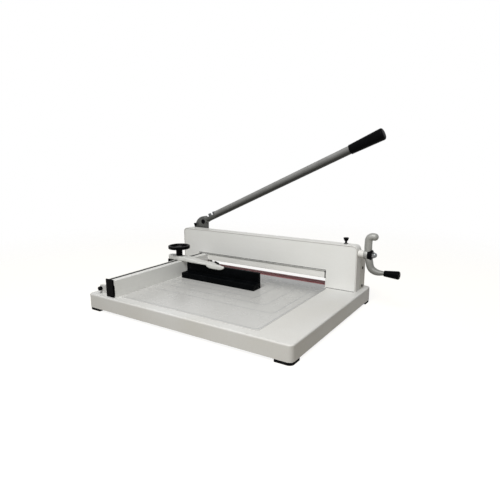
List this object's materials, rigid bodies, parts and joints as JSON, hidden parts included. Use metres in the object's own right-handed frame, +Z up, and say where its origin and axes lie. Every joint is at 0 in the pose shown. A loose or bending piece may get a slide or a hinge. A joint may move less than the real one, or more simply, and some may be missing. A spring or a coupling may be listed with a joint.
{
  "type": "paper cutter",
  "caption": "Desk-top stack paper cutter with a lever knife, a crank-driven screw clamp, a side fence and a sliding back gauge.",
  "frame": {"origin": "middle of the whole machine's extent in X and Y, crank and lever included, on the plane that the rubber feet stand on", "axes": "+X to the right along the blade, +Y back towards the housing, +Z up"},
  "size_m": [0.692, 0.455, 0.4556],
  "materials": {
    "table_paint": "satin",
    "panel_paint": "satin",
    "shell_paint": "satin",
    "rear_paint": "satin",
    "fence_paint": "satin",
    "clamp_paint": "satin",
    "arm_paint": "satin",
    "boss_paint": "satin",
    "scale_print": "gloss",
    "stick_red": "satin",
    "foot_rubber": "matte",
    "black_plastic": "satin",
    "black_metal": "satin",
    "stop_black": "satin",
    "black_screws": "satin",
    "grip_rubber": "satin",
    "screw_steel": "satin",
    "rod_steel": "polished",
    "tube_steel": "polished",
    "blade_steel": "polished",
    "frame_steel": "satin",
    "frame_iron": "matte",
    "hub_iron": "satin",
    "crank_metal": "satin",
    "nut_brass": "satin"
  },
  "bodies": {
    "table": {"base_shell": "table_paint", "rubber_feet": "foot_rubber", "foot_screws": "screw_steel", "scale_plate": "scale_print", "bed_channel": "frame_steel", "cutting_stick": "stick_red", "side_fence": "fence_paint", "fence_cap": "black_plastic", "fence_screws": "screw_steel", "guide_rod": "rod_steel", "rod_brackets": "black_metal", "rod_knob": "black_plastic", "front_shell": "shell_paint", "front_panel": "panel_paint", "rear_cover": "rear_paint", "cover_screws": "black_screws", "left_frame": "frame_iron", "right_frame": "frame_iron", "rear_plate": "frame_steel", "plate_bolts": "screw_steel", "frame_bolts": "screw_steel", "tie_rail": "frame_steel", "guide_screws": "screw_steel", "guide_posts": "frame_steel", "lever_pivot": "rod_steel", "idler_pivot": "rod_steel", "crank_boss": "boss_paint", "lock_bush": "rod_steel", "cover_stud": "black_plastic"},
    "lever": {"lever_hub": "hub_iron", "lever_tube": "tube_steel", "lever_bolts": "black_screws", "lever_grip": "grip_rubber", "lever_link_pin": "rod_steel"},
    "knife": {"blade_carrier": "frame_steel", "blade": "blade_steel", "blade_bolts": "screw_steel"},
    "idler": {"idler_crank": "hub_iron", "idler_link_pin": "rod_steel"},
    "screw": {"clamp_screw": "rod_steel", "screw_collar": "rod_steel", "clamp_crank": "crank_metal", "crank_nut": "crank_metal"},
    "crank_handle": {"crank_grip": "black_plastic"},
    "slide": {"slide_plate": "frame_steel", "drive_nut": "nut_brass", "nut_screws": "screw_steel"},
    "clamp": {"clamp_bar": "clamp_paint", "clamp_pins": "rod_steel"},
    "gauge": {"gauge_arm": "arm_paint", "gauge_slider": "black_plastic", "gauge_stop": "stop_black", "gauge_screws": "black_screws", "gauge_shoe": "rod_steel"},
    "handwheel": {"gauge_knob": "black_plastic", "gauge_stud": "rod_steel"},
    "lock": {"lock_plunger": "rod_steel", "lock_knob": "black_plastic"}
  },
  "joints": [
    {"name": "lever_swing", "type": "hinge", "parent": "table", "child": "lever", "pos_m": [-0.29615, 0.204, 0.1422], "axis": [0, 1, 0], "range_deg": [-18, 18]},
    {"name": "knife_link", "type": "hinge", "parent": "lever", "child": "knife", "pos_m": [-0.22661, 0.204, 0.1141], "axis": [0, 1, 0], "range_deg": [-18, 18]},
    {"name": "idler_swing", "type": "hinge", "parent": "table", "child": "idler", "pos_m": [0.10385, 0.204, 0.1422], "axis": [0, 1, 0], "range_deg": [-18, 18]},
    {"name": "clamp_turn", "type": "hinge", "parent": "table", "child": "screw", "pos_m": [0.25585, 0.1635, 0.144], "axis": [-1, 0, 0], "range_deg": [-510, 735]},
    {"name": "slide_travel", "type": "slide", "parent": "table", "child": "slide", "axis": [1, 0, 0], "range_m": [-0.01417, 0.02042]},
    {"name": "clamp_drop", "type": "slide", "parent": "table", "child": "clamp", "axis": [0, 0, -1], "range_m": [-0.017, 0.0245]},
    {"name": "handle_spin", "type": "hinge", "parent": "screw", "child": "crank_handle", "pos_m": [0.32585, 0.1635, 0.1005], "axis": [1, 0, 0], "continuous": true},
    {"name": "gauge_slide", "type": "slide", "parent": "table", "child": "gauge", "axis": [0, 1, 0], "range_m": [-0.2, 0.068]},
    {"name": "handwheel_turn", "type": "hinge", "parent": "gauge", "child": "handwheel", "pos_m": [-0.27115, 0.0445, 0.12], "axis": [0, 0, 1], "range_deg": [0, 360]},
    {"name": "lock_pull", "type": "slide", "parent": "table", "child": "lock", "axis": [0, 0, 1], "range_m": [0, 0.006]}
  ],
  "couplings": [
    {"joint": "knife_link", "follows": "lever_swing", "ratio": -1},
    {"joint": "idler_swing", "follows": "lever_swing", "ratio": 1},
    {"joint": "slide_travel", "follows": "clamp_turn", "m_per_rad": 0.0015915},
    {"joint": "clamp_drop", "follows": "clamp_turn", "m_per_rad": 0.0019099}
  ]
}
